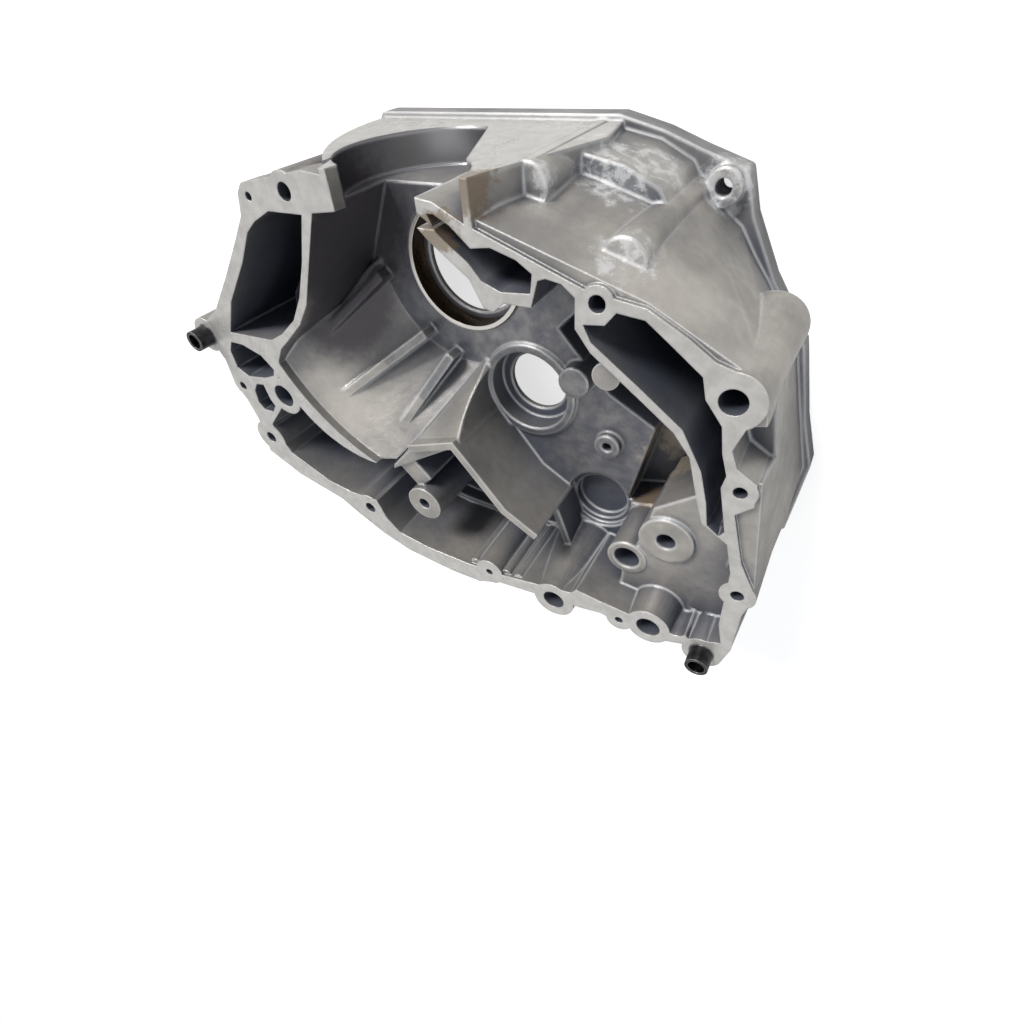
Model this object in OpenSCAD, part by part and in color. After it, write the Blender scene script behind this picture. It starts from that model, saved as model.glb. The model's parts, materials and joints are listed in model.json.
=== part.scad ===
// Crankcase half of a single-cylinder engine, die cast in aluminium.
// The crank axis is the Z axis. Y points up the cylinder, X along the cylinder deck.
// Heights count up from the side-cover flange, which the case lies on, with its joint face up.
// The finished pieces are then lowered, so that z = 0 is the face of the crank web.

/* [Case] */
// Distance from the side-cover flange to the joint face
case_depth = 104; // [98:1:120]
// Height of the crank web's face above the side-cover flange
web_top = 58; // [54:1:62]
// Thickness of the web between the crank side and the cover side
web_t = 12; // [8:1:14]
// Wall round the side-cover chamber
cover_wall = 8; // [6:0.5:10]
// Thickness of the side-cover flange
flange_t = 11; // [8:1:14]
// How far the side-cover flange stands out from the wall
flange_out = 2.5; // [1:0.5:4]
// Height of the cylinder deck above the crank axis
deck_h = 48; // [46:1:54]
// Distance from the crank axis to the gearbox end of the side-cover flange
gear_end = 161; // [158:1:165]
// Distance from the crank axis to the left dowel
dowel_reach = 143; // [140:1:147]

/* [Crank and cylinder] */
// Outside diameter of the crank bearing sleeve
sleeve_d = 60; // [56:1:64]
// Wall of the crank bearing sleeve
sleeve_wall = 2; // [1.5:0.5:3]
// How far the bearing sleeve stands proud of the web
sleeve_proud = 1; // [0.5:0.5:2]
// Width of the lip behind the sleeve
lip_w = 3; // [2:0.5:5]
// Thickness of the lip behind the sleeve
lip_t = 3; // [2:0.5:4]
// Diameter of the cylinder spigot bore
spigot_d = 59; // [54:1:62]
// Sideways offset of the cylinder from the crank axis
spigot_offset = 5; // [2:1:7]
// Radius of the crank chamber's lower wall at the joint face
chamber_r = 102; // [99:1:104]
// Radius of the flat web round the crank bearing
web_r = 48; // [42:1:52]
// Height of the upright lip at the top of the lower chamber wall
chamber_lip = 5; // [2:1:10]
// Thickness of the oil guide ribs
rib_t = 5; // [3:0.5:6]

/* [Gearbox] */
// Outside diameter of the gear shaft bearing
gear_bearing_d = 42; // [38:1:46]
// Width of the lip behind the gear shaft bearing
gear_lip = 5.5; // [3:0.5:7]
// Height of the collar round the gear shaft bearing
gear_collar = 2; // [1:0.5:3]
// Diameter of the idler shaft bore
idler_d = 9; // [6:0.5:12]
// Height of the gearbox's raised floor above the cover flange
gear_floor = 87; // [80:1:92]
// Diameter of the boss round the idler shaft
idler_boss_d = 26; // [20:1:30]

/* [Bosses and dowels] */
// Outside diameter of the dowel bushes
dowel_d = 11; // [9:0.5:12]
// Bore of the dowel bushes
dowel_bore = 8; // [6:0.5:8.5]
// Length of the dowel bushes
dowel_l = 20; // [14:1:26]
// How far the dowel bushes stand out of the joint face
dowel_out = 9; // [6:1:12]
// Extra diameter of the dowel bushes' pressed end
dowel_step = 1; // [0.5:0.5:1.5]
// Diameter of the case bolt holes
bolt_d = 7; // [5:0.5:8]
// Outside diameter of the case bolt bosses
bolt_boss_d = 17; // [15:0.5:20]
// Diameter of the holes for the large engine bolts
large_bolt_d = 12; // [9:0.5:13]
// Outside diameter of the large bolt bosses
large_boss_d = 22; // [20:0.5:25]
// Diameter of the threaded cover screw holes
cover_screw_d = 6; // [4:0.5:7]

/* [Hidden] */
$fn = 64;
eps = 0.05;
web_low = web_top - web_t;

// Height of the ledge over the side-cover chamber
ledge_h = web_top - 5;

// Depth at which each hollow's floor lies above the cover flange
pocket_floor = web_top - 6;
bay_floor = web_top - 20;

// Layout points seen from the joint face, crank axis at the origin
p_dowel_left = [-dowel_reach, -37];
p_dowel_right = [gear_end - 18, -150];
p_gear_shaft = [31, -57];
p_idler = [115, -100];
p_drain_tube = [-17, -117];
p_oil_gallery = [-98, -65];
p_upper_boss = [133, -13];
p_lower_bolt = [64, -153];
p_rear_bolt = [116, -146];
p_wall_boss = [87, 22];
p_deck_boss = [46, 40];
p_stud_boss = [58, -43];
p_jet_boss = [74, -77];
p_blind_hole = [97, -120];
p_gear_pit = [70, -116];
p_cover_lug = [100, 27];

// Case bolts on the joint face: centre, boss diameter, hole diameter
case_bolts = [
    [[-71, 36], 0.6 * bolt_boss_d, 0.5 * bolt_d],
    [[-49, 39], 0.9 * bolt_boss_d, bolt_d],
    [[-131, -66], 0.8 * bolt_boss_d, 0.7 * bolt_d],
    [[-125, -100], 1.3 * bolt_boss_d, bolt_d],
    [[-57, -132], 1.1 * bolt_boss_d, bolt_d],
    [[24, -150], bolt_boss_d, 0.6 * bolt_d],
    [p_lower_bolt, large_boss_d + 1, large_bolt_d],
    [[101, -149], 0.8 * bolt_boss_d, 0.6 * bolt_d],
    [p_rear_bolt, large_boss_d, large_bolt_d],
    [[gear_end - 10, -103], 0.9 * bolt_boss_d, 0.8 * bolt_d],
    [[142, -49], 0.75 * bolt_boss_d, 0.75 * bolt_d],
    [[84, 13], 0.75 * bolt_boss_d, 0.9 * bolt_d]];

// Cover screws round the side-cover flange
cover_screws = [[-63, 40], [-9, 42], [51, 40], [135, -34], [gear_end - 7, -98], [gear_end - 12, -142],
    [64, -147], [-33, -139], [-92, -106], [-110, -35]];

// True arc of points about c, from angle a to angle b
function arc(c, r, a, b, n) =
    [for (i = [0:n]) c + r * [cos(a + (b - a) * i / n), sin(a + (b - a) * i / n)]];

function unit(v) = v / norm(v);

// The point at a distance to the left of point i of a path
function beside(points, i, d) =
    let (k = max(i, 1),
        n = min(i, len(points) - 2),
        a = unit(points[k] - points[k - 1]),
        m = unit(a + unit(points[n + 1] - points[n])))
    points[i] + d * [-m[1], m[0]] / (a * m);

joint_outline = [[-80, 28], [-77, 37], [-73, 41], [-37, deck_h - 1], [22, 40], [34, 34], [53, 27], [80, 17],
    [101, 14], [116, 6], [125, 0], [132, -2], [141, -7], [144, -15], [139, -22], [136, -32], [139, -39], [147, -44],
    [148, -54], [142, -60], [149, -84], [gear_end - 3, -101], [gear_end - 6, -114], [gear_end - 6, -140],
    [gear_end - 9, -153], [gear_end - 28, -149], [118, -154], [91, -149], [79, -151], [50, -154], [30, -156],
    [16, -162], [-3, -162], [-34, -158], [-52, -151], [-67, -142], [-80, -133], [-111, -124], [-132, -112],
    [-130, -88], [-133, -75], [-138, -66], [-137, -51], [-dowel_reach + 3, -44], [-dowel_reach + 3, -29],
    [-127, -21], [-106, 0], [-89, 18]];

// Lower side of the side-cover chamber, from the gearbox round to the cylinder deck
cover_lower = [[147, -152], [63, -152], [-17, -148], [-72, -126], [-109, -96], [-117, -50], [-99, 0]];

cover_outline = concat([[-69, deck_h], [53, deck_h], [72, 43], [88, 37], [106, 31], [111, 15], [124, -9],
    [143, -36], [gear_end - 8, -74], [gear_end, -97], [gear_end - 2, -140]], cover_lower);

// The leaning outer wall under the joint flange, below that and half way down
wall_top = [[22, 40], [53, 29], [80, 19], [101, 15], [125, 1], [141, -6], [144, -15], [147, -52],
    [gear_end - 4, -101], [gear_end - 6, -140]];
wall_high = [[22, 42], [53, 35], [80, 26], [101, 20], [124, 2], [141, -7], [148, -52], [gear_end - 3, -101],
    [gear_end - 5, -140]];
wall_mid = [[14, 46], [35, 41], [55, 37], [74, 31], [92, 23], [109, 12], [123, -9], [142, -36], [gear_end - 8, -74],
    [gear_end - 1, -98], [gear_end - 4, -139]];

// The same wall just above the side-cover flange
wall_base = [[14, 47], [40, 46], [70, 40], [86, 31], [95, 19], [110, 9], [124, -9], [142, -36], [gear_end - 9, -74],
    [gear_end - 2, -98], [gear_end - 4, -139]];

// Side-cover chamber's wall above the flange, with the ledge that it forms beside the deck
cover_body = concat([[-66, 28], [-46, deck_h - 1], [38, 47], [53, 46], [72, 42], [86, 35], [94, 23], [109, 12],
    [123, -9], [142, -36], [gear_end - 8, -74], [gear_end - 1, -98], [gear_end - 4, -139]], cover_lower);

// Everything open to the crank and the gears, down to the web
main_bay = [[-37, 32], [15, 38], [14, 31], [18, 27], [26, 21], [34, 15], [39, 5], [43, 4], [48, 8], [59, 8],
    [62, 18], [65, 19], [71, 18], [76, 14], [76, 3], [82, -5], [102, -20], [115, -30], [122, -39], [128, -60],
    [131, -69], [142, -76], [gear_end - 15, -91], [gear_end - 14, -125], [gear_end - 11, -138], [138, -143],
    [128, -140], [109, -142], [90, -140], [77, -138], [74, -142], [50, -146], [32, -149], [10, -150], [-18, -149],
    [-38, -145], [-46, -136], [-50, -124], [-70, -124], [-86, -121], [-111, -108], [-117, -97], [-119, -89],
    [-112, -82], [-104, -74], [-98, -56], [-91, -42], [-86, -35], [-77, -28], [-66, -19], [-57, -8], [-50, 6],
    [-41, 24]];

// Deeper part of the sump, below the chamber wall and along the lower wall
sump_floor = web_low + 3;
sump_floor_t = 6;
sump_trough = [[-115, -95], [-109, -105], [-86, -118], [-70, -121], [-48, -121], [-43, -136], [-36, -143],
    [-18, -146], [9, -147], [31, -146], [48, -143], [57, -136], [55, -123], [50, -118], [34, -108], [9, -76],
    [-18, -86], [-34, -99], [-60, -95], [-84, -82], [-98, -79], [-108, -85]];

left_pocket = [[-73, 26], [-62, 31], [-43, 31], [-51, 12], [-60, -5], [-69, -17], [-81, -26], [-91, -31],
    [-122, -32], [-111, -14], [-91, 7], [-80, 21]];

// Two small oil hollows between the left dowel and the sump
lower_pocket = [[-125, -38], [-116, -38], [-104, -42], [-98, -49], [-100, -53], [-108, -56], [-122, -58],
    [-129, -54], [-129, -44]];
corner_pocket = [[-118, -62], [-112, -61], [-111, -70], [-109, -74], [-113, -79], [-120, -79], [-123, -75],
    [-122, -67]];

bore_pocket = [[19, 36], [22, 36], [28, 33], [36, 26], [44, 27], [54, 24], [60, 20], [59, 13], [47, 12],
    [39, 15], [34, 21], [27, 26], [22, 30]];

breather = [[79, 5], [87, 6], [91, 11], [101, 10], [109, 4], [122, -6], [124, -14], [131, -23], [133, -34],
    [136, -43], [135, -49], [140, -70], [138, -73], [133, -69], [131, -58], [127, -44], [118, -28], [101, -15],
    [82, -1]];

gear_bay = [[47, -22], [55, -31], [73, -50], [96, -63], [85, -112], [101, -108], [123, -68], [120, -48],
    [109, -30], [87, -14], [75, -6], [61, -8]];

idler_floor = [[95, -142], [95, -124], [102, -110], [107, -84], [127, -68], [143, -76], [gear_end - 10, -92],
    [gear_end - 8, -140]];

// Notch in the outer wall between the upper boss and the bolt below it
wall_notch = [[139, -22], [136, -32], [139, -39], [147, -44], [155, -44], [155, -20], [147, -20]];

// Broad land beside the cylinder bore
bore_land = [[15, 36], [15, 41], [22, 40], [34, 34], [44, 30], [30, 26]];

// Rest of the lower chamber wall beside the gears
guide_wall = [[-19, -80], [9, -70], [35, -103], [53, -114]];

// Centre and radius of the chamber wall's side towards the sump
p_sump_side = [-40, -35];
sump_side_r = 58.5;

module plate(points, z0, z1) {
    translate([0, 0, z0])
        linear_extrude(z1 - z0)
            polygon(points);
}

// A wall of the given thickness along a row of points, with mitred corners
module wall_along(points, t, z0, z1) {
    last = len(points) - 1;
    plate(concat([for (i = [0:last]) beside(points, i, t / 2)], [for (i = [last:-1:0]) beside(points, i, -t / 2)]),
        z0, z1);
}

// Lowers a finished piece to the row's origin, the crank axis at the web's face
module from_web_face() {
    translate([0, 0, -web_top])
        children();
}

module post(p, d, z0, z1) {
    translate([p[0], p[1], z0])
        cylinder(d = d, h = z1 - z0);
}

// Outer wall that leans out from the joint face to the cover flange
module leaning_wall() {
    hull() {
        plate(wall_top, case_depth - 4, case_depth - 2);
        plate(wall_high, case_depth - 20, case_depth - 18);
        plate(wall_mid, web_low - 4, web_low + 4);
        plate(wall_base, flange_t, flange_t + 4);
    }
}

// Flat deck that the cylinder stands on, and its tapering shoulder
module deck() {
    translate([0, deck_h, 0])
        rotate([90, 0, 0])
            linear_extrude(16)
                polygon([[spigot_offset - spigot_d / 2 - 3, case_depth], [-69, 0], [53, 0], [60, 40],
                    [spigot_offset + spigot_d / 2 + 8, case_depth - 16],
                    [spigot_offset + spigot_d / 2 + 3, case_depth]]);
}

module cover_chamber() {
    difference() {
        translate([0, 0, -1])
            linear_extrude(web_low + 1)
                offset(delta = -cover_wall)
                    polygon(cover_body);
        translate([0, 0, bay_floor - 6])
            linear_extrude(web_t + 20)
                offset(delta = 5)
                    polygon(gear_bay);
        translate([0, 0, sump_floor - sump_floor_t])
            linear_extrude(web_t)
                offset(delta = 3)
                    polygon(sump_trough);
        for (p = cover_screws)
            post(p, cover_screw_d + 8, -2, web_top);
    }
}

// Lower wall of the crank chamber, swept about the crank axis
module chamber_floor() {
    intersection() {
        plate(concat([[-40, 5], [-54, -5], [-66, -20], [-88, -36], [-97, -52]],
            arc(p_sump_side, sump_side_r, 214, 277, 10), [[9, -45], [0, 0]]), web_low + 1, case_depth);
        rotate_extrude($fn = 96)
            polygon([[web_r, web_low], [web_r, web_top], [chamber_r, case_depth - chamber_lip], [chamber_r, case_depth],
                [chamber_r + 20, case_depth], [chamber_r + 20, web_low]]);
    }
}

// Rib that rises from the sloping wall towards the web
module oil_rib(p, angle, len, rise) {
    translate([p[0], p[1], 0])
        rotate([90, 0, angle])
            translate([0, 0, -rib_t / 2])
                linear_extrude(rib_t)
                    polygon([[0, web_low], [0, web_top + rise], [len, web_top + 0.63 * len], [len, web_low]]);
}

module web_features() {
    chamber_floor();
    oil_rib([-23, -33], 216, 52, 9);
    oil_rib([-9, -42], 235.6, 44, 9);
    oil_rib([-45, -7], 222, 40, 8);
    wall_along(guide_wall, 4, web_low, case_depth - 4);
    wall_along([[51, -112], [60, -140]], 4, web_low, web_top + 18);
    // Sloping face between the chamber wall and the gear side
    hull() {
        plate([[-35, -99], [-34, -96], [-19, -81], [-19, -84]], web_low, case_depth - 6);
        plate([[7, -44], [10, -46], [17, -68], [12, -70], [-19, -82], [-34, -96]], web_low, web_top);
        plate([[-19, -80], [11, -68], [12, -71], [-18, -84]], web_low, case_depth - 8);
    }
    plate(idler_floor, web_low, gear_floor);
    post(p_idler, idler_boss_d, web_low, gear_floor + 2);
    post(p_blind_hole, 20, web_low, gear_floor + 1);
    post(p_gear_shaft, gear_bearing_d + 8, web_low, web_top + gear_collar);
    // Ribs on the inside of the lower wall
    for (x = [14, 34, 42])
        post([x, -149], 6, web_low, case_depth - 2);
    post(p_stud_boss, 15, web_low, web_top + 8);
    post(p_jet_boss, 13, web_low, web_top + 4);
    post(p_drain_tube, 21, web_low, case_depth - 4);
    post(p_oil_gallery, 22, web_low, case_depth);
    // Lug on the breather's wall
    post([87, -15], 11, web_low, case_depth - 3);
    // Block beside the drain tube
    translate([p_drain_tube[0] - 4, p_drain_tube[1] + 8, web_low])
        rotate(42)
            cube([12, 18, case_depth - 8 - web_low]);
    // Ledge in the left pocket
    plate([[-91, -36], [-66, -18], [-56, -3], [-80, 3], [-101, -20], [-107, -37]], web_low, web_top + 14);
}

module outside_features() {
    // Round bosses along the outer wall
    post(p_wall_boss, 17, flange_t, 90);
    post(p_deck_boss, 17, flange_t, 80);
    // Big upper boss, wider towards the flange
    translate([p_upper_boss[0], p_upper_boss[1], 42])
        cylinder(d1 = large_boss_d + 5, d2 = large_boss_d, h = case_depth - 42);
    // Lug of the side-cover flange
    post(p_cover_lug, 15, 0, flange_t + 4);
}

module joint_bosses() {
    for (b = case_bolts)
        post(b[0], b[1], web_low, case_depth);
    post(p_dowel_left, dowel_d + 8, web_low + 20, case_depth);
    post(p_dowel_right, dowel_d + 8, web_low, case_depth);
}

// The engine bolts' columns widen towards the web
module bolt_columns() {
    for (f = [[p_lower_bolt, 1.9], [p_rear_bolt, 1.4]])
        translate([f[0][0], f[0][1], web_low])
            cylinder(d1 = f[1] * large_boss_d, d2 = large_boss_d, h = case_depth - web_low);
}

module drilling() {
    for (b = case_bolts)
        post(b[0], b[2], case_depth - 40, case_depth + 1);
    for (p = cover_screws)
        post(p, cover_screw_d, -1, 18);
    post(p_cover_lug, cover_screw_d + 1, -1, flange_t + 6);
    post(p_upper_boss, 10, case_depth - 45, case_depth + 1);
    // Crank bearing seat and the lip behind it
    post([0, 0], sleeve_d, web_low + lip_t, case_depth);
    post([0, 0], sleeve_d - 2 * sleeve_wall - 2 * lip_w, -1, case_depth);
    // Gear shaft bearing seat and its lip
    post(p_gear_shaft, gear_bearing_d, web_low + lip_t, web_top + gear_collar + 1);
    post(p_gear_shaft, gear_bearing_d + 4, web_top + gear_collar, case_depth);
    post(p_gear_shaft, gear_bearing_d - 2 * gear_lip, -1, case_depth);
    post(p_idler, idler_d, web_low + 4, case_depth);
    post(p_blind_hole, 13, gear_floor - 12, case_depth);
    post(p_jet_boss, 5, web_top - 6, web_top + 9);
    post(p_drain_tube, bolt_d, case_depth - 40, case_depth);
    post(p_oil_gallery, 13, case_depth - 40, case_depth + 1);
    for (p = [p_dowel_left, p_dowel_right])
        post(p, dowel_d + dowel_step, case_depth + dowel_out - dowel_l, case_depth + 1);
    // Half of the cylinder spigot bore
    difference() {
        translate([spigot_offset, deck_h + 20, case_depth])
            rotate([90, 0, 0])
                cylinder(d = spigot_d, h = 20 + deck_h - 31, $fn = 96);
        plate(bore_land, web_low, case_depth + 1);
    }
}

module casting() {
    color("silver")
        from_web_face() difference() {
            union() {
                difference() {
                    union() {
                        difference() {
                            plate(joint_outline, web_low, case_depth);
                            // Hollow behind the joint flange beside the deck
                            plate([[-90, 32], [-27, 35], [-40, 60], [-90, 60]], web_low - 1, case_depth - 11);
                        }
                        plate(cover_body, 0, ledge_h);
                        linear_extrude(flange_t)
                            offset(r = flange_out)
                                polygon(cover_outline);
                        leaning_wall();
                        deck();
                        joint_bosses();
                        outside_features();
                    }
                    cover_chamber();
                    plate(main_bay, web_top, case_depth + 1);
                    plate(sump_trough, sump_floor, web_top + 1);
                    plate(left_pocket, pocket_floor, case_depth + 1);
                    plate(lower_pocket, pocket_floor, case_depth + 1);
                    plate(corner_pocket, pocket_floor, case_depth + 1);
                    plate(bore_pocket, pocket_floor, case_depth + 1);
                    plate(breather, pocket_floor, case_depth + 1);
                    plate(gear_bay, bay_floor, case_depth + 1);
                    plate(wall_notch, case_depth - 20, case_depth + 1);
                    post(p_gear_pit, 29, web_top - 8, case_depth);
                    post(p_gear_pit, 36, web_top - 3, case_depth);
                    // Scallops in the lower wall beside the idler floor
                    for (x = [129, 139])
                        post([x, -139], 11, gear_floor, case_depth + 1);
                }
                web_features();
                intersection() {
                    union() {
                        joint_bosses();
                        bolt_columns();
                    }
                    plate(joint_outline, web_low, case_depth);
                }
            }
            drilling();
        }
}

module bearing_sleeve() {
    color("dimgray")
        from_web_face() translate([0, 0, web_low + lip_t])
            difference() {
                cylinder(d = sleeve_d, h = web_t - lip_t + sleeve_proud);
                translate([0, 0, -eps])
                    cylinder(d = sleeve_d - 2 * sleeve_wall, h = web_t + 1);
            }
}

module dowel(p) {
    color("#202022")
        from_web_face() translate([p[0], p[1], case_depth + dowel_out - dowel_l])
            difference() {
                union() {
                    cylinder(d = dowel_d, h = dowel_l);
                    cylinder(d = dowel_d + dowel_step, h = dowel_l - dowel_out);
                }
                translate([0, 0, -eps])
                    cylinder(d = dowel_bore, h = dowel_l + 2 * eps);
            }
}

module dowel_left() {
    dowel(p_dowel_left);
}

module dowel_right() {
    dowel(p_dowel_right);
}

casting();
bearing_sleeve();
dowel_left();
dowel_right();
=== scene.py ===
"""Looks for a die-cast aluminium crankcase half, lying on its cover flange with its joint face up."""
import json
import math

import bpy
from mathutils import Euler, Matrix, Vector

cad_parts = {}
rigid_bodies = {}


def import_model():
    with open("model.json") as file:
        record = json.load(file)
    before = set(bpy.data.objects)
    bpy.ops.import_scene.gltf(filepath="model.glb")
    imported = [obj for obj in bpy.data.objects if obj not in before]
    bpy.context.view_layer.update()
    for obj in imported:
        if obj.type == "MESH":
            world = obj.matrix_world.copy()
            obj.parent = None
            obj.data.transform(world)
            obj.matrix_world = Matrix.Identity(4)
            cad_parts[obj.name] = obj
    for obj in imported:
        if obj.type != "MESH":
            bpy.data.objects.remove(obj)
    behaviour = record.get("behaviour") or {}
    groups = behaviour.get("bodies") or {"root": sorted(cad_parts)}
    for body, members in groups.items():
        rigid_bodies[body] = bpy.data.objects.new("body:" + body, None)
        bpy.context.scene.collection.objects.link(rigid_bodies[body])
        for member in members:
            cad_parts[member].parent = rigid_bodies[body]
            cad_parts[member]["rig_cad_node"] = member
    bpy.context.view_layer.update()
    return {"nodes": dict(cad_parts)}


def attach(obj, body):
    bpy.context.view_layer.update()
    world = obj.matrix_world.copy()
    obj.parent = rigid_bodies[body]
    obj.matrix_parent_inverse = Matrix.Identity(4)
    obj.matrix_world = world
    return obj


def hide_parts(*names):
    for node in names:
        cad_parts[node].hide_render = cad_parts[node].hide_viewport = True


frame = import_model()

# Faces of the casting in the row frame, in metres: the joint face and the cover flange along z, and the
# deck along y
JOINT_FACE = 0.046
FLANGE_FACE = -0.058
DECK_FACE = 0.048

# The photograph's cylinder bore, whose axis runs along y: its middle (x, z), its radius, where it ends
# inside the deck, and a place in front of the deck where its tool starts
BORE_MIDDLE = (-0.006, 0.006)
BORE_RADIUS = 0.038
BORE_END = 0.0331
BEYOND_DECK = 0.060
# The land beside the bore: a place on its slanted edge, the direction across that edge, and where its foot
# starts along x and ends along y
LAND_EDGE = (0.022, 0, 0.021)
LAND_SIDE = (0.92, 0, -0.39)
LAND_FOOT_START = 0.0147
LAND_FOOT_END = 0.041
LAND_FOOT_SIZE = 0.1
# The throat that opens the bore into the crank chamber: how much narrower it is than the bore, its ends
# along y, its sides along x, and the web's face, which it stays clear of
THROAT_INSET = 0.0004
THROAT_ENDS = (0.029, 0.0340)
THROAT_SIDES = (-0.036, 0.010)
WEB_FACE = 0.0001
# The hidden wall that closes the bore towards the side-cover chamber: its thickness, its ends along y and
# its top, which lies in the web
BACKING_WALL = 0.0045
BACKING_ENDS = (0.0303, 0.040)
BACKING_TOP = -0.0111
# The bulged left edge of the deck: its middle (x, z), its radius, the slab's inner face along y, how far
# it stays inside the joint face and the flange face, and where it ends inside the deck
DECK_EDGE_MIDDLE = (0.045, -0.048)
DECK_EDGE_RADIUS = 0.1155
DECK_SLAB = 0.0325
BELOW_JOINT = 0.0001
ABOVE_FLANGE = 0.0005
DECK_EDGE_END = -0.035
# The case bolt's hole that passes the bulged edge
EDGE_BOLT = (-0.049, 0.039)
BOLT_RADIUS = 0.0035
BOLT_DEPTH = 0.040
DRILL_OVERSHOOT = 0.002

# Corners of the copied casting that lie closer than this are merged, and edges that turn by less than the
# angle are shaded smooth
MERGE_DISTANCE = 0.000002
SMOOTH_BELOW = math.radians(30)

# The photograph's viewpoint
CAMERA_PLACE = (0.156093, 0.094402, 0.221)
CAMERA_TURN = (-44.901, 29.113, -4.615)
SENSOR_MM = 36.0
FOCAL_MM = 20.39

# Colours
CAST_GREY = (0.285, 0.275, 0.262, 1)
CAST_PALE = (0.51, 0.482, 0.442, 1)
# Pale metal of the painted highlights along edges and on spots
HIGHLIGHT_METAL = (0.80, 0.81, 0.82, 1)
MILLED_GREY = (0.62, 0.61, 0.59, 1)
HONED_GREY = (0.27, 0.27, 0.285, 1)
# Dark blue of the painted shade in hollows and on level floors, where it also stands for oil, and of the
# random dapple
OILY_SHADE_BLUE = (0.078, 0.088, 0.120, 1)
# Dark grey of the painted shade on two chamber walls
WALL_SHADE = (0.070, 0.064, 0.074, 1)
OIL_STAIN = (0.22, 0.16, 0.10, 1)
DRIED_OIL = (0.52, 0.45, 0.35, 1)
SLEEVE_RIM = (0.62, 0.60, 0.57, 1)
SLEEVE_BROWN = (0.13, 0.085, 0.055, 1)
DOWEL_BLACK = (0.022, 0.022, 0.025, 1)
# Pale grey of the dowels' painted edge highlights and random wear
DOWEL_HIGHLIGHT_AND_WEAR = (0.30, 0.30, 0.31, 1)
WHITE = (1, 1, 1, 1)
FLOOR_WHITE = (0.88, 0.88, 0.88, 1)
SKY = (0.92, 0.96, 1.0, 1)

# Ragged patches on the casting: middle, reach and raggedness, and a stain's colour. The first table holds
# painted highlights, the second painted shade on walls
# Spots painted bright as highlights
HIGHLIGHT_SPOTS = (
    ((0.087, 0.022, 0.032), 0.012, 0.45),
    ((0.070, 0.042, -0.005), 0.016, 0.45),
    ((0.062, 0.045, -0.019), 0.011, 0.45),
    ((0.079, 0.038, -0.025), 0.014, 0.45),
    ((0.056, 0.045, 0.022), 0.010, 0.45),
    ((0.100, 0.027, -0.046), 0.013, 0.40),
)
# Walls painted darker as shade
SHADED_WALLS = (
    ((-0.046, 0.014, 0.022), 0.040, 0.08),
    ((-0.068, -0.020, 0.014), 0.034, 0.08),
)
STAINS = (
    ((0.040, 0.047, 0.046), 0.014, 0.60, OIL_STAIN),
    ((0.022, 0.030, 0.046), 0.009, 0.60, OIL_STAIN),
    ((0.096, -0.104, -0.006), 0.012, 0.45, OIL_STAIN),
    ((0.104, -0.078, -0.010), 0.018, 0.35, DRIED_OIL),
)

# How much each finish, painted shade and painted highlight shows
# Strength of the painted shade on the walls
WALL_SHADE_AMOUNT = 0.90
STAIN_AMOUNT = 0.75
DAPPLE_AMOUNT = 0.13
# Strength of the painted edge highlights
EDGE_HIGHLIGHT_AMOUNT = 0.65
MILLED_MOTTLE = 0.35

# Radii of the casting's rounded edges, in general and at the joint face, and the heights between which the
# first goes over into the second
CAST_EDGE = 0.0026
JOINT_EDGE = 0.0009
SHARP_FROM = 0.036
SHARP_AT = 0.045

# The lamps' directions, in which their light travels
KEY_DIRECTION = (0.34, -0.80, -0.50)
FILL_DIRECTION = (-0.778, 0.167, -0.608)
FLOOR_SIZE = 40.0
FLOOR_GAP = 0.0003

NOWHERE = (0.0, 0.0, 0.0)


def new_group(name, inputs, outputs):
    """A shader node group's tree, what it is given (name, kind, default) and its results (name, kind)."""
    tree = bpy.data.node_groups.new(name, "ShaderNodeTree")
    for label, kind, default in inputs:
        socket = tree.interface.new_socket(label, in_out="INPUT", socket_type="NodeSocket" + kind)
        socket.default_value = default
    for label, kind in outputs:
        tree.interface.new_socket(label, in_out="OUTPUT", socket_type="NodeSocket" + kind)
    return tree, tree.nodes.new("NodeGroupInput").outputs, tree.nodes.new("NodeGroupOutput").inputs


def add(tree, kind, **settings):
    """A node of a kind, with its settings."""
    node = tree.nodes.new("ShaderNode" + kind)
    for key, value in settings.items():
        setattr(node, key, value)
    return node


def feed(tree, node, **sockets):
    """Sets or links inputs of a node, by name with _ for a space, or by number, as n0 for the first."""
    for key, value in sockets.items():
        numbered = key[0] == "n" and key[1:].isdigit()
        socket = node.inputs[int(key[1:]) if numbered else key.replace("_", " ")]
        if isinstance(value, bpy.types.NodeSocket):
            tree.links.new(value, socket)
        else:
            socket.default_value = value
    return node


def maths(tree, operation, a, b=0.0, clamp=False):
    """The result socket of a Math node."""
    node = add(tree, "Math", operation=operation, use_clamp=clamp)
    return feed(tree, node, n0=a, n1=b).outputs[0]


def times(tree, a, b):
    """The product of two numbers."""
    return maths(tree, "MULTIPLY", a, b)


def less(tree, value, mask, amount):
    """A value that drops by an amount where a mask is 1."""
    return maths(tree, "SUBTRACT", value, times(tree, mask, amount))


def blend_colour(tree, factor, first, second):
    """A colour that goes from first to second with the factor."""
    node = add(tree, "Mix", data_type="RGBA")
    return feed(tree, node, n0=factor, n6=first, n7=second).outputs[2]


def blend_value(tree, factor, first, second):
    """A number that goes from first to second with the factor."""
    node = add(tree, "Mix", data_type="FLOAT")
    return feed(tree, node, n0=factor, n2=first, n3=second).outputs[0]


def band(tree, value, low, high):
    """A smooth step of a value, from 0 at low to 1 at high."""
    node = add(tree, "MapRange", interpolation_type="SMOOTHSTEP")
    return feed(tree, node, n0=value, n1=low, n2=high).outputs[0]


def split(tree, vector):
    """The X, Y and Z outputs of a vector."""
    return feed(tree, add(tree, "SeparateXYZ"), Vector=vector).outputs


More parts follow.
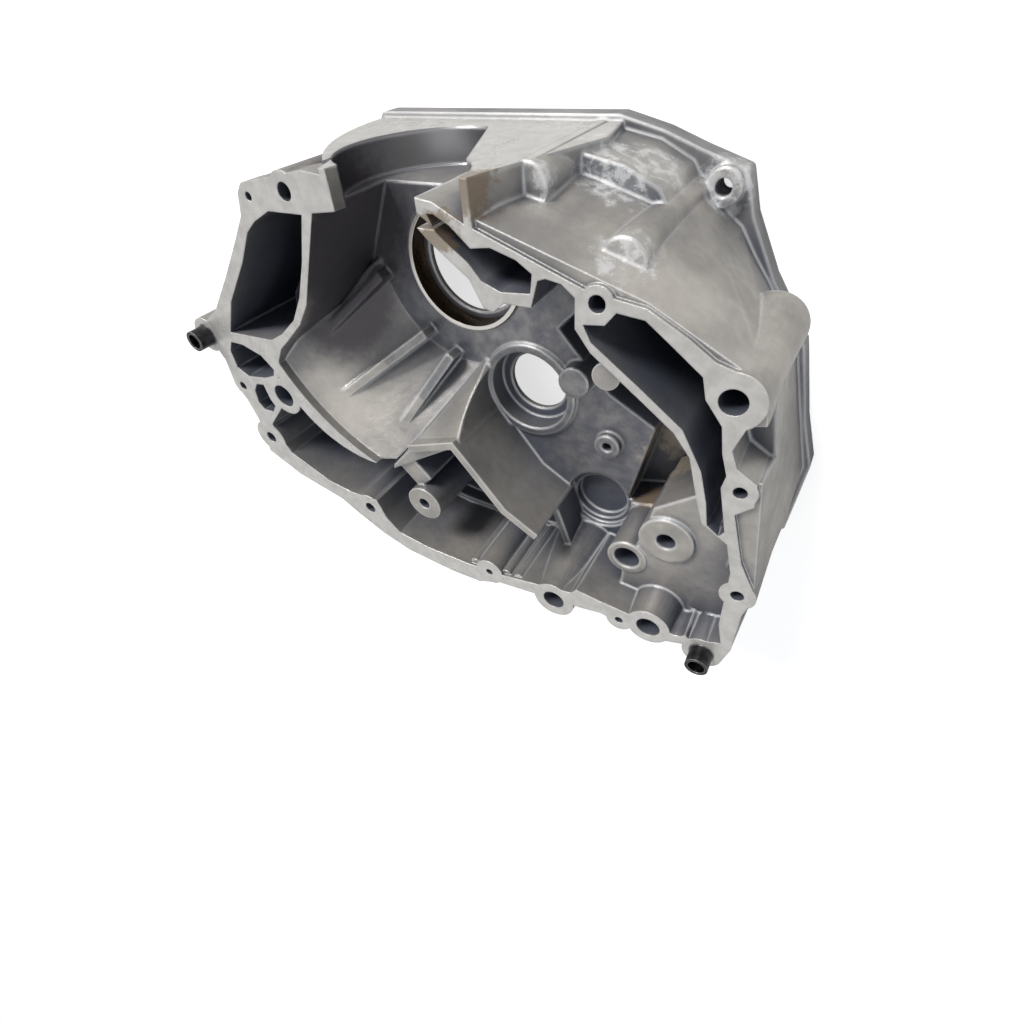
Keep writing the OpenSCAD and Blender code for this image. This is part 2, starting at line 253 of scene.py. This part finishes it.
def noise(tree, place, scale, detail, **settings):
    """The value of a noise texture."""
    node = add(tree, "TexNoise")
    return feed(tree, node, Vector=place, Scale=scale, Detail=detail, **settings).outputs[0]


def distance(tree, first, second):
    """How far two places lie apart."""
    node = add(tree, "VectorMath", operation="DISTANCE")
    return feed(tree, node, n0=first, n1=second).outputs["Value"]


def milled_face_group():
    """A mask of the flat face at a level: the joint face, the deck or the cover flange."""
    tree, given, result = new_group(
        "Milled face",
        (("Coordinate", "Float", 0.0),
         ("Facing", "Float", 0.0),
         ("Level", "Float", 0.0),
         ("Band", "Float", 0.0006)),
        (("Mask", "Float"),))
    away = maths(tree, "ABSOLUTE", maths(tree, "SUBTRACT", given["Coordinate"], given["Level"]))
    near = maths(tree, "LESS_THAN", away, given["Band"])
    flat = maths(tree, "GREATER_THAN", given["Facing"], 0.98)
    tree.links.new(times(tree, near, flat), result["Mask"])
    return tree


def honed_wall_group():
    """A mask of the cylinder bore's round wall, whose axis runs along y."""
    tree, given, result = new_group(
        "Honed wall",
        (("Place", "Vector", NOWHERE),
         ("Middle", "Vector", NOWHERE),
         ("Radius", "Float", 0.03),
         ("End", "Float", 0.0),
         ("Facing", "Float", 0.0),
         ("Band", "Float", 0.0006)),
        (("Mask", "Float"),))
    across = add(tree, "VectorMath", operation="MULTIPLY")
    feed(tree, across, n0=given["Place"], n1=(1.0, 0.0, 1.0))
    away = distance(tree, across.outputs["Vector"], given["Middle"])
    off = maths(tree, "ABSOLUTE", maths(tree, "SUBTRACT", away, given["Radius"]))
    near = maths(tree, "LESS_THAN", off, given["Band"])
    above = maths(tree, "GREATER_THAN", split(tree, given["Place"])["Y"], given["End"])
    upright = maths(tree, "LESS_THAN", maths(tree, "ABSOLUTE", given["Facing"]), 0.5)
    tree.links.new(times(tree, upright, times(tree, near, above)), result["Mask"])
    return tree


def cast_grain_group():
    """The skin of a die casting: fine pits, a soft orange peel and slow patches of tone."""
    tree, given, result = new_group(
        "Cast grain",
        (("Place", "Vector", NOWHERE),
         ("Pit size", "Float", 900.0),
         ("Patch size", "Float", 22.0)),
        (("Height", "Float"), ("Tone", "Float")))
    pits = noise(tree, given["Place"], given["Pit size"], 3.0, Roughness=0.6)
    peel = noise(tree, given["Place"], 220.0, 2.0)
    patch = noise(tree, given["Place"], given["Patch size"], 5.0, Roughness=0.62)
    height = maths(tree, "ADD", times(tree, pits, 0.35), times(tree, peel, 0.65))
    tree.links.new(height, result["Height"])
    tree.links.new(band(tree, patch, 0.32, 0.70), result["Tone"])
    return tree


def soft_edge_group():
    """The rounded normal of an edge, and a mask along edges where a highlight is painted."""
    tree, given, result = new_group(
        "Soft edge",
        (("Radius", "Float", 0.001), ("Width", "Float", 0.5)),
        (("Normal", "Vector"), ("Edge highlight", "Float")))
    rounded = feed(tree, add(tree, "Bevel", samples=6), Radius=given["Radius"]).outputs[0]
    true_normal = add(tree, "NewGeometry").outputs["True Normal"]
    dot = feed(tree, add(tree, "VectorMath", operation="DOT_PRODUCT"), n0=rounded, n1=true_normal)
    bent = maths(tree, "SUBTRACT", 1.0, dot.outputs["Value"])
    edge_highlight = maths(tree, "MULTIPLY", bent, maths(tree, "DIVIDE", 4.0, given["Width"]), clamp=True)
    tree.links.new(rounded, result["Normal"])
    tree.links.new(edge_highlight, result["Edge highlight"])
    return tree


def recess_shade_group():
    """A mask of hollows, found by ambient occlusion, where shade is painted."""
    tree, given, result = new_group(
        "Recess shade",
        (("Reach", "Float", 0.03), ("Amount", "Float", 1.0)),
        (("Mask", "Float"),))
    hollow = feed(tree, add(tree, "AmbientOcclusion", samples=6), Distance=given["Reach"])
    closed = band(tree, hollow.outputs["AO"], 0.95, 0.25)
    tree.links.new(maths(tree, "MULTIPLY", closed, given["Amount"], clamp=True), result["Mask"])
    return tree


def patch_group():
    """A mask of one ragged patch round a place, such as a stain, a painted highlight or a patch of painted
    shade.
    """
    tree, given, result = new_group(
        "Ragged patch",
        (("Place", "Vector", NOWHERE),
         ("Middle", "Vector", NOWHERE),
         ("Reach", "Float", 0.01),
         ("Raggedness", "Float", 0.5)),
        (("Mask", "Float"),))
    ratio = maths(tree, "DIVIDE", distance(tree, given["Place"], given["Middle"]), given["Reach"])
    blots = noise(tree, given["Place"], 190.0, 5.0, Roughness=0.65)
    shift = times(tree, maths(tree, "SUBTRACT", blots, 0.5), given["Raggedness"])
    ragged = maths(tree, "ADD", ratio, times(tree, shift, 4.0))
    tree.links.new(band(tree, ragged, 1.1, 0.6), result["Mask"])
    return tree


def level_floor_group():
    """A mask of level floors between two heights, where oil lies and shade is painted."""
    tree, given, result = new_group(
        "Level floor",
        (("Height", "Float", 0.0),
         ("Facing", "Float", 0.0),
         ("Low", "Float", -0.02),
         ("High", "Float", 0.02)),
        (("Mask", "Float"),))
    above = maths(tree, "GREATER_THAN", given["Height"], given["Low"])
    below = maths(tree, "LESS_THAN", given["Height"], given["High"])
    level = band(tree, given["Facing"], 0.80, 0.97)
    tree.links.new(times(tree, level, times(tree, above, below)), result["Mask"])
    return tree


def milling_marks_group():
    """Arcs that a large face mill leaves on a machined face."""
    tree, given, result = new_group(
        "Milling marks",
        (("Place", "Vector", NOWHERE), ("Pitch", "Float", 1600.0)),
        (("Height", "Float"),))
    waves = add(tree, "TexWave", wave_type="RINGS", rings_direction="Z")
    feed(tree, waves, Vector=given["Place"], Scale=given["Pitch"], Distortion=1.5, Detail=1.0)
    tree.links.new(waves.outputs[1], result["Height"])
    return tree


def place_group(tree, group, **sockets):
    """The outputs of a node group that is placed in a material and fed."""
    return feed(tree, add(tree, "Group", node_tree=group), **sockets).outputs


def bare_material(name):
    """A new material with its node tree and its shader."""
    material = bpy.data.materials.new(name)
    material.use_nodes = True
    tree = material.node_tree
    return material, tree, tree.nodes["Principled BSDF"]


def object_place(tree):
    """Places on the piece in the row frame."""
    return add(tree, "TexCoord").outputs["Object"]


def true_facing(tree):
    """The X, Y and Z outputs of the direction that a face looks to."""
    return split(tree, add(tree, "NewGeometry").outputs["True Normal"])


def height_bump(tree, height, strength, reach, normal):
    """A bumped normal on top of a rounded one."""
    bump = add(tree, "Bump")
    return feed(tree, bump, Height=height, Strength=strength, Distance=reach, Normal=normal).outputs[0]


def ragged_patch(tree, groups, place, spot):
    """The mask of one patch of the lists above."""
    middle, reach, raggedness = spot[:3]
    return place_group(
        tree, groups["patch"], Place=place, Middle=middle, Reach=reach, Raggedness=raggedness)[0]


def milled_mask(tree, groups, y, z, facing):
    """The joint face, the deck and the cover flange."""
    joint = place_group(tree, groups["milled"], Coordinate=z, Facing=facing["Z"], Level=JOINT_FACE)[0]
    deck = place_group(tree, groups["milled"], Coordinate=y, Facing=facing["Y"], Level=DECK_FACE)[0]
    downwards = times(tree, facing["Z"], -1.0)
    flange = place_group(tree, groups["milled"], Coordinate=z, Facing=downwards, Level=FLANGE_FACE)[0]
    return maths(tree, "ADD", maths(tree, "ADD", joint, deck), flange, clamp=True)


def cast_masks(tree, groups, place):
    """The masks and patterns of the casting, by name."""
    part = split(tree, place)
    facing = true_facing(tree)
    grain = place_group(tree, groups["grain"], Place=place)
    mottle = place_group(tree, groups["grain"], Place=place, Pit_size=1700.0, Patch_size=150.0)
    rounding = blend_value(tree, band(tree, part["Z"], SHARP_FROM, SHARP_AT), CAST_EDGE, JOINT_EDGE)
    edge = place_group(tree, groups["edge"], Radius=rounding)
    level = place_group(tree, groups["floor"], Height=part["Z"], Facing=facing["Z"])[0]
    honed = place_group(
        tree, groups["honed"], Place=place, Middle=(BORE_MIDDLE[0], 0.0, BORE_MIDDLE[1]),
        Radius=BORE_RADIUS, End=BORE_END, Facing=facing["Y"])[0]
    return {
        "faces": milled_mask(tree, groups, part["Y"], part["Z"], facing),
        "tone": grain["Tone"],
        "grain": grain["Height"],
        "mottle": mottle["Tone"],
        "fine grain": mottle["Height"],
        "edge_highlight": edge["Edge highlight"],
        "rounded": edge["Normal"],
        "recess_shade": place_group(tree, groups["recess_shade"], Reach=0.050)[0],
        "marks": place_group(tree, groups["marks"], Place=place)[0],
        "oily_shaded_floor": times(tree, level, blend_value(tree, mottle["Tone"], 0.50, 0.80)),
        "honed": honed,
    }


def cast_colour(tree, groups, place, masks):
    """The casting's skin, with oil and painted shade on level floors, painted shade in hollows, painted
    highlights along edges, machined faces, painted shade on two walls, painted highlight spots with glints,
    and stains over it.
    """
    skin = blend_colour(tree, masks["tone"], CAST_GREY, CAST_PALE)
    skin = blend_colour(tree, times(tree, masks["mottle"], DAPPLE_AMOUNT), skin, OILY_SHADE_BLUE)
    # Oil on level floors, in a dark blue that also paints shade there
    skin = blend_colour(tree, masks["oily_shaded_floor"], skin, OILY_SHADE_BLUE)
    # Painted shade in hollows
    skin = blend_colour(tree, masks["recess_shade"], skin, OILY_SHADE_BLUE)
    # Painted highlights along edges
    skin = blend_colour(tree, times(tree, masks["edge_highlight"], EDGE_HIGHLIGHT_AMOUNT), skin, HIGHLIGHT_METAL)
    milled = blend_colour(tree, times(tree, masks["mottle"], MILLED_MOTTLE), MILLED_GREY, CAST_GREY)
    skin = blend_colour(tree, masks["faces"], skin, milled)
    skin = blend_colour(tree, masks["honed"], skin, HONED_GREY)

    # Painted shade on two chamber walls, kept off the machined faces
    wall_shade_strength = less(tree, WALL_SHADE_AMOUNT, masks["faces"], WALL_SHADE_AMOUNT)
    for spot in SHADED_WALLS:
        skin = blend_colour(tree, times(tree, ragged_patch(tree, groups, place, spot), wall_shade_strength), skin, WALL_SHADE)

    # Painted highlight spots, with painted glints from the fine grain
    highlight_spots = ragged_patch(tree, groups, place, HIGHLIGHT_SPOTS[0])
    for spot in HIGHLIGHT_SPOTS[1:]:
        highlight_spots = maths(tree, "MAXIMUM", highlight_spots, ragged_patch(tree, groups, place, spot))
    glint = blend_value(tree, band(tree, masks["fine grain"], 0.44, 0.58), 0.15, 0.70)
    skin = blend_colour(tree, times(tree, highlight_spots, glint), skin, HIGHLIGHT_METAL)

    for spot in STAINS:
        amount = times(tree, ragged_patch(tree, groups, place, spot), STAIN_AMOUNT)
        skin = blend_colour(tree, amount, skin, spot[3])
    return skin


def cast_roughness(tree, masks):
    """Smoother where the skin is pale, machined, on oily floors and in the shaded hollows, and smoothest in
    the bore.
    """
    floor_and_hollow = maths(tree, "MAXIMUM", masks["recess_shade"], masks["oily_shaded_floor"])
    rough = less(tree, 0.50, masks["tone"], 0.12)
    rough = less(tree, rough, masks["faces"], 0.14)
    rough = less(tree, rough, floor_and_hollow, 0.10)
    return blend_value(tree, masks["honed"], rough, 0.30)


def cast_metal(tree, masks):
    """Duller where the face is machined and in the hollows with painted shade, and bare metal in the bore.
    """
    metal = less(tree, 0.55, masks["faces"], 0.15)
    metal = blend_value(tree, masks["recess_shade"], metal, 0.15)
    return blend_value(tree, masks["honed"], metal, 0.95)


def cast_relief(tree, masks):
    """The grain of the skin, with milling marks instead on machined faces, and next to none in the bore."""
    skin = times(tree, masks["grain"], maths(tree, "SUBTRACT", 1.0, masks["faces"]))
    milled = times(tree, masks["marks"], times(tree, masks["faces"], 0.10))
    height = maths(tree, "ADD", skin, milled)
    height = maths(tree, "ADD", height, times(tree, masks["fine grain"], 0.5))
    return times(tree, height, less(tree, 1.0, masks["honed"], 0.9))


def cast_aluminium(groups):
    """Die-cast skin with machined faces, painted highlights along edges and on spots, oil and painted shade
    on level floors, and painted shade in hollows.
    """
    material, tree, shader = bare_material("cast_aluminium")
    place = object_place(tree)
    masks = cast_masks(tree, groups, place)
    feed(tree, shader,
         Base_Color=cast_colour(tree, groups, place, masks),
         Roughness=cast_roughness(tree, masks),
         Metallic=cast_metal(tree, masks),
         Normal=height_bump(tree, cast_relief(tree, masks), 0.40, 0.0006, masks["rounded"]))
    return material


def bearing_steel(groups):
    """Steel sleeve: pale on the faces that look up, dark brown with a little tone on its round wall."""
    material, tree, shader = bare_material("bearing_steel")
    rim = maths(tree, "GREATER_THAN", true_facing(tree)["Z"], 0.9)
    grain = place_group(tree, groups["grain"], Place=object_place(tree), Pit_size=1500.0, Patch_size=60.0)
    edge = place_group(tree, groups["edge"], Radius=0.0004)
    wall = blend_colour(tree, times(tree, grain["Tone"], 0.5), SLEEVE_BROWN, OIL_STAIN)
    feed(tree, shader,
         Base_Color=blend_colour(tree, rim, wall, SLEEVE_RIM),
         Roughness=maths(tree, "ADD", 0.25, times(tree, grain["Tone"], 0.15)),
         Metallic=1.0,
         Normal=height_bump(tree, grain["Height"], 0.12, 0.0003, edge["Normal"]))
    return material


def dowel_steel(groups):
    """Blackened steel with painted highlights along its edges and some random wear in its tone."""
    material, tree, shader = bare_material("dowel_steel")
    grain = place_group(tree, groups["grain"], Place=object_place(tree), Pit_size=2200.0, Patch_size=260.0)
    edge = place_group(tree, groups["edge"], Radius=0.0006, Width=0.35)
    # Painted highlights along the edges, and random wear in the tone
    edge_highlight = times(tree, edge["Edge highlight"], 0.6)
    highlight_and_wear = maths(tree, "ADD", edge_highlight, times(tree, grain["Tone"], 0.12), clamp=True)
    feed(tree, shader,
         Base_Color=blend_colour(tree, highlight_and_wear, DOWEL_BLACK, DOWEL_HIGHLIGHT_AND_WEAR),
         Roughness=maths(tree, "ADD", 0.28, times(tree, grain["Tone"], 0.14)),
         Metallic=0.9,
         Normal=height_bump(tree, grain["Height"], 0.10, 0.0003, edge["Normal"]))
    return material


def dress_nodes():
    """Gives each CAD node its finish."""
    groups = {
        "milled": milled_face_group(),
        "honed": honed_wall_group(),
        "grain": cast_grain_group(),
        "edge": soft_edge_group(),
        "recess_shade": recess_shade_group(),
        "patch": patch_group(),
        "floor": level_floor_group(),
        "marks": milling_marks_group(),
    }
    dowel = dowel_steel(groups)
    finishes = {
        "casting": cast_aluminium(groups),
        "bearing_sleeve": bearing_steel(groups),
        "dowel_left": dowel,
        "dowel_right": dowel,
    }
    for name, finish in finishes.items():
        for slot in frame["nodes"][name].material_slots:
            slot.material = finish


def only(piece):
    """Selects one piece alone and makes it the active one."""
    bpy.ops.object.select_all(action="DESELECT")
    piece.select_set(True)
    bpy.context.view_layer.objects.active = piece


def settled():
    """The piece just added, with its place and turn put into its mesh."""
    piece = bpy.context.object
    bpy.ops.object.transform_apply(location=True, rotation=True, scale=True)
    return piece


def bore_tool(middle, radius, low, high):
    """A round tool whose axis runs along the cylinder, from one place along it to another."""
    bpy.ops.object.select_all(action="DESELECT")
    bpy.ops.mesh.primitive_cylinder_add(
        vertices=128, radius=radius, depth=high - low,
        location=(middle[0], (low + high) / 2, middle[1]), rotation=(math.radians(90), 0, 0))
    return settled()


def edge_bolt_drill():
    """A drill for the case bolt's hole, down from the joint face."""
    bpy.ops.object.select_all(action="DESELECT")
    bpy.ops.mesh.primitive_cylinder_add(
        vertices=48, radius=BOLT_RADIUS, depth=BOLT_DEPTH + DRILL_OVERSHOOT,
        location=(*EDGE_BOLT, JOINT_FACE + DRILL_OVERSHOOT / 2 - BOLT_DEPTH / 2))
    return settled()


def land_foot():
    """The block of the land that the bore leaves standing under the deck's face."""
    bpy.ops.object.select_all(action="DESELECT")
    half = LAND_FOOT_SIZE / 2
    bpy.ops.mesh.primitive_cube_add(
        size=LAND_FOOT_SIZE, location=(LAND_FOOT_START + half, LAND_FOOT_END - half, 0.0))
    return settled()


def slice_off(tool, place, side):
    """Cuts away what lies beyond a plane through a place, on the side that a direction points to."""
    only(tool)
    bpy.ops.object.mode_set(mode="EDIT")
    bpy.ops.mesh.select_all(action="SELECT")
    bpy.ops.mesh.bisect(plane_co=place, plane_no=side, use_fill=True, clear_outer=True)
    bpy.ops.object.mode_set(mode="OBJECT")


def use_tool(piece, tool, operation):
    """Joins a tool to a piece or cuts it out of the piece, and removes the tool."""
    only(piece)
    boolean = piece.modifiers.new("tool", "BOOLEAN")
    boolean.operation = operation
    boolean.solver = "EXACT"
    boolean.object = tool
    bpy.ops.object.modifier_apply(modifier=boolean.name)
    bpy.data.objects.remove(tool)


def copied_casting():
    """A copy of the casting with its split corners merged, in the finish that dress_nodes() gave."""
    only(frame["nodes"]["casting"])
    bpy.ops.object.duplicate()
    piece = bpy.context.object
    piece.name = "bored_casting"
    del piece["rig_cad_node"]
    bpy.ops.object.mode_set(mode="EDIT")
    bpy.ops.mesh.select_all(action="SELECT")
    bpy.ops.mesh.remove_doubles(threshold=MERGE_DISTANCE)
    bpy.ops.mesh.customdata_custom_splitnormals_clear()
    bpy.ops.object.mode_set(mode="OBJECT")
    return piece


def bulge_deck(piece):
    """Adds the deck's bulged left edge, with the bolt's hole drilled through it."""
    edge = bore_tool(DECK_EDGE_MIDDLE, DECK_EDGE_RADIUS, DECK_SLAB, DECK_FACE)
    slice_off(edge, (0, 0, JOINT_FACE - BELOW_JOINT), (0, 0, 1))
    slice_off(edge, (0, 0, FLANGE_FACE + ABOVE_FLANGE), (0, 0, -1))
    slice_off(edge, (DECK_EDGE_END, 0, 0), (1, 0, 0))
    use_tool(piece, edge, "UNION")
    use_tool(piece, edge_bolt_drill(), "DIFFERENCE")


def bore_deck(piece):
    """Backs the deck on its hidden side, and cuts the bore and the throat that opens into the chamber."""
    backing = bore_tool(BORE_MIDDLE, BORE_RADIUS + BACKING_WALL, *BACKING_ENDS)
    slice_off(backing, (0, 0, BACKING_TOP), (0, 0, 1))
    use_tool(piece, backing, "UNION")

    bore = bore_tool(BORE_MIDDLE, BORE_RADIUS, BORE_END, BEYOND_DECK)
    slice_off(bore, LAND_EDGE, LAND_SIDE)
    use_tool(bore, land_foot(), "DIFFERENCE")
    use_tool(piece, bore, "DIFFERENCE")

    throat = bore_tool(BORE_MIDDLE, BORE_RADIUS - THROAT_INSET, *THROAT_ENDS)
    slice_off(throat, (THROAT_SIDES[1], 0, 0), (1, 0, 0))
    slice_off(throat, (THROAT_SIDES[0], 0, 0), (-1, 0, 0))
    slice_off(throat, (0, 0, WEB_FACE), (0, 0, -1))
    use_tool(piece, throat, "DIFFERENCE")


def bored_casting():
    """The casting with the deck's bulged edge and the cylinder's bore as deep as in the photograph."""
    piece = copied_casting()
    bulge_deck(piece)
    bore_deck(piece)
    only(piece)
    bpy.ops.object.shade_smooth_by_angle(angle=SMOOTH_BELOW)
    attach(piece, "root")
    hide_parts("casting")


def studio_floor():
    """A plain pale floor that the case lies on, lit up for the camera so that it shows white."""
    bpy.ops.mesh.primitive_plane_add(size=FLOOR_SIZE, location=(0, 0, FLANGE_FACE - FLOOR_GAP))
    floor = bpy.context.object
    floor.name = "studio_floor"
    material, tree, shader = bare_material("floor_white")
    feed(tree, shader, Base_Color=FLOOR_WHITE, Roughness=0.9)
    glow = feed(tree, add(tree, "Emission"), Color=WHITE, Strength=0.7)
    lit = feed(tree, add(tree, "AddShader"), n0=shader.outputs[0], n1=glow.outputs[0])
    seen = add(tree, "LightPath").outputs["Is Camera Ray"]
    mix = feed(tree, add(tree, "MixShader"), n0=seen, n1=shader.outputs[0], n2=lit.outputs[0])
    tree.links.new(mix.outputs[0], tree.nodes["Material Output"].inputs[0])
    floor.data.materials.append(material)


def studio_world():
    """White for the camera, in reflections and through glass, and plain soft light for the rest."""
    world = bpy.data.worlds.new("studio_world")
    bpy.context.scene.world = world
    world.use_nodes = True
    tree = world.node_tree
    soft = feed(tree, tree.nodes["Background"], Color=SKY, Strength=0.26)
    white = feed(tree, add(tree, "Background"), Color=WHITE, Strength=1.0)
    rays = add(tree, "LightPath").outputs
    seen = maths(tree, "MAXIMUM", rays["Is Camera Ray"], rays["Is Transmission Ray"])
    seen = maths(tree, "MAXIMUM", seen, rays["Is Glossy Ray"])
    mix = feed(tree, add(tree, "MixShader"), n0=seen, n1=soft.outputs[0], n2=white.outputs[0])
    tree.links.new(mix.outputs[0], tree.nodes["World Output"].inputs[0])


def add_sun(name, energy, angle, colour, direction):
    """A sun whose light travels along a direction."""
    sun = bpy.data.lights.new(name, "SUN")
    sun.energy = energy
    sun.angle = angle
    sun.color = colour
    lamp = bpy.data.objects.new(name, sun)
    bpy.context.collection.objects.link(lamp)
    lamp.rotation_euler = Vector(direction).to_track_quat("-Z", "Y").to_euler()


def studio_lamps():
    """A soft key that comes in low over the deck, so that the near wall shades the web, and a weak fill."""
    add_sun("key", 3.0, 0.35, (1.0, 0.975, 0.94), KEY_DIRECTION)
    add_sun("fill", 0.30, 0.20, (0.95, 0.97, 1.0), FILL_DIRECTION)


def photo_camera():
    """The photograph's viewpoint."""
    data = bpy.data.cameras.new("photo_camera")
    data.sensor_width = SENSOR_MM
    data.lens = FOCAL_MM
    data.clip_start = 0.01
    camera = bpy.data.objects.new("photo_camera", data)
    bpy.context.collection.objects.link(camera)
    camera.location = CAMERA_PLACE
    camera.rotation_euler = Euler([math.radians(angle) for angle in CAMERA_TURN], "XYZ")
    bpy.context.scene.camera = camera


photo_camera()
bpy.ops.object.select_all(action="DESELECT")
dress_nodes()
bored_casting()
studio_floor()
studio_world()
studio_lamps()
bpy.context.scene.view_settings.view_transform = "Standard"
